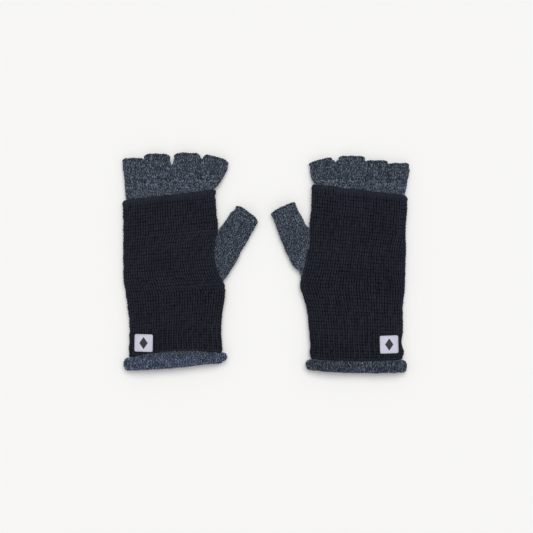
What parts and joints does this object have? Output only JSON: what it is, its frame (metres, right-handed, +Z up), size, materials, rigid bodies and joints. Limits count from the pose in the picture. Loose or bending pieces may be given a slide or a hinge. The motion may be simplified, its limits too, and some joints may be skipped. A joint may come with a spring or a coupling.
{
  "type": "fingerless two-layer knitted gloves",
  "caption": "Pair of fingerless knitted gloves with short open finger and thumb stalls, rolled cuffs and a loose ribbed outer sleeve with a thumb opening.",
  "frame": {"origin": "on the table, midway between the two gloves and near the middle of their length", "axes": "+Z up from the table to the backs of the hands, +Y from the wrists to the fingertips, +X from the left glove to the right glove"},
  "size_m": [0.2594, 0.198, 0.0173],
  "materials": {
    "sleeve_yarn": "matt navy-black knit",
    "glove_yarn": "matt grey-blue melange knit",
    "cuff_yarn": "matt grey-blue melange knit, purl side out",
    "label_cloth": "fine pale lilac woven ribbon",
    "label_mark": "fine dark grey woven thread",
    "label_thread": "pale sewing thread"
  },
  "bodies": {
    "left_hand": {"left_hand_body": "glove_yarn", "left_thumb_gusset": "glove_yarn"},
    "left_index_finger": {"left_index_stall": "glove_yarn", "left_index_hem": "glove_yarn"},
    "left_middle_finger": {"left_middle_stall": "glove_yarn", "left_middle_hem": "glove_yarn"},
    "left_ring_finger": {"left_ring_stall": "glove_yarn", "left_ring_hem": "glove_yarn"},
    "left_little_finger": {"left_little_stall": "glove_yarn", "left_little_hem": "glove_yarn"},
    "left_thumb": {"left_thumb_stall": "glove_yarn", "left_thumb_hem": "glove_yarn"},
    "left_cuff": {"left_rolled_cuff": "cuff_yarn"},
    "left_sleeve": {"left_sleeve_body": "sleeve_yarn", "left_sleeve_top_hem": "sleeve_yarn", "left_sleeve_rib_band": "sleeve_yarn", "left_thumb_opening_edge": "sleeve_yarn", "left_woven_label": "label_cloth", "left_label_motif": "label_mark", "left_label_stitching": "label_thread"},
    "right_hand": {"right_hand_body": "glove_yarn", "right_thumb_gusset": "glove_yarn"},
    "right_index_finger": {"right_index_stall": "glove_yarn", "right_index_hem": "glove_yarn"},
    "right_middle_finger": {"right_middle_stall": "glove_yarn", "right_middle_hem": "glove_yarn"},
    "right_ring_finger": {"right_ring_stall": "glove_yarn", "right_ring_hem": "glove_yarn"},
    "right_little_finger": {"right_little_stall": "glove_yarn", "right_little_hem": "glove_yarn"},
    "right_thumb": {"right_thumb_stall": "glove_yarn", "right_thumb_hem": "glove_yarn"},
    "right_cuff": {"right_rolled_cuff": "cuff_yarn"},
    "right_sleeve": {"right_sleeve_body": "sleeve_yarn", "right_sleeve_top_hem": "sleeve_yarn", "right_sleeve_rib_band": "sleeve_yarn", "right_thumb_opening_edge": "sleeve_yarn", "right_woven_label": "label_cloth", "right_label_motif": "label_mark", "right_label_stitching": "label_thread"}
  },
  "joints": [
    {"name": "left_index_flex", "type": "hinge", "parent": "left_hand", "child": "left_index_finger", "pos_m": [-0.0487, 0.07458, 0.0023], "axis": [-1, 0, 0], "range_deg": [-20, 80], "stiffness_Nm_per_rad": 0.002},
    {"name": "left_middle_flex", "type": "hinge", "parent": "left_hand", "child": "left_middle_finger", "pos_m": [-0.0716, 0.07458, 0.0023], "axis": [-1, 0, 0], "range_deg": [-20, 80], "stiffness_Nm_per_rad": 0.002},
    {"name": "left_ring_flex", "type": "hinge", "parent": "left_hand", "child": "left_ring_finger", "pos_m": [-0.0971, 0.07458, 0.0023], "axis": [-1, 0, 0], "range_deg": [-20, 80], "stiffness_Nm_per_rad": 0.002},
    {"name": "left_little_flex", "type": "hinge", "parent": "left_hand", "child": "left_little_finger", "pos_m": [-0.1186, 0.07458, 0.0023], "axis": [-1, 0, 0], "range_deg": [-20, 80], "stiffness_Nm_per_rad": 0.002},
    {"name": "left_thumb_flex", "type": "hinge", "parent": "left_hand", "child": "left_thumb", "pos_m": [-0.03806, 0.00492, 0.0023], "axis": [-0.1186, 0.9929, 0], "range_deg": [-15, 70], "stiffness_Nm_per_rad": 0.003},
    {"name": "left_cuff_roll", "type": "slide", "parent": "left_hand", "child": "left_cuff", "axis": [0, -1, 0], "range_m": [0, 0.006]},
    {"name": "left_sleeve_shift", "type": "slide", "parent": "left_hand", "child": "left_sleeve", "axis": [0, 1, 0], "range_m": [0, 0.002]},
    {"name": "right_glove_free", "type": "slide", "parent": "left_hand", "child": "right_hand", "axis": [1, 0, 0], "range_m": [0, 0.05]},
    {"name": "right_index_flex", "type": "hinge", "parent": "right_hand", "child": "right_index_finger", "pos_m": [0.0531, 0.07458, 0.0023], "axis": [-1, 0, 0], "range_deg": [-20, 80], "stiffness_Nm_per_rad": 0.002},
    {"name": "right_middle_flex", "type": "hinge", "parent": "right_hand", "child": "right_middle_finger", "pos_m": [0.07655, 0.07458, 0.0023], "axis": [-1, 0, 0], "range_deg": [-20, 80], "stiffness_Nm_per_rad": 0.002},
    {"name": "right_ring_flex", "type": "hinge", "parent": "right_hand", "child": "right_ring_finger", "pos_m": [0.09975, 0.07458, 0.0023], "axis": [-1, 0, 0], "range_deg": [-20, 80], "stiffness_Nm_per_rad": 0.002},
    {"name": "right_little_flex", "type": "hinge", "parent": "right_hand", "child": "right_little_finger", "pos_m": [0.1199, 0.07458, 0.0023], "axis": [-1, 0, 0], "range_deg": [-20, 80], "stiffness_Nm_per_rad": 0.002},
    {"name": "right_thumb_flex", "type": "hinge", "parent": "right_hand", "child": "right_thumb", "pos_m": [0.03307, 0.0067, 0.0023], "axis": [-0.182, -0.9833, 0], "range_deg": [-15, 70], "stiffness_Nm_per_rad": 0.003},
    {"name": "right_cuff_roll", "type": "slide", "parent": "right_hand", "child": "right_cuff", "axis": [0, -1, 0], "range_m": [0, 0.006]},
    {"name": "right_sleeve_shift", "type": "slide", "parent": "right_hand", "child": "right_sleeve", "axis": [0, 1, 0], "range_m": [0, 0.002]}
  ]
}
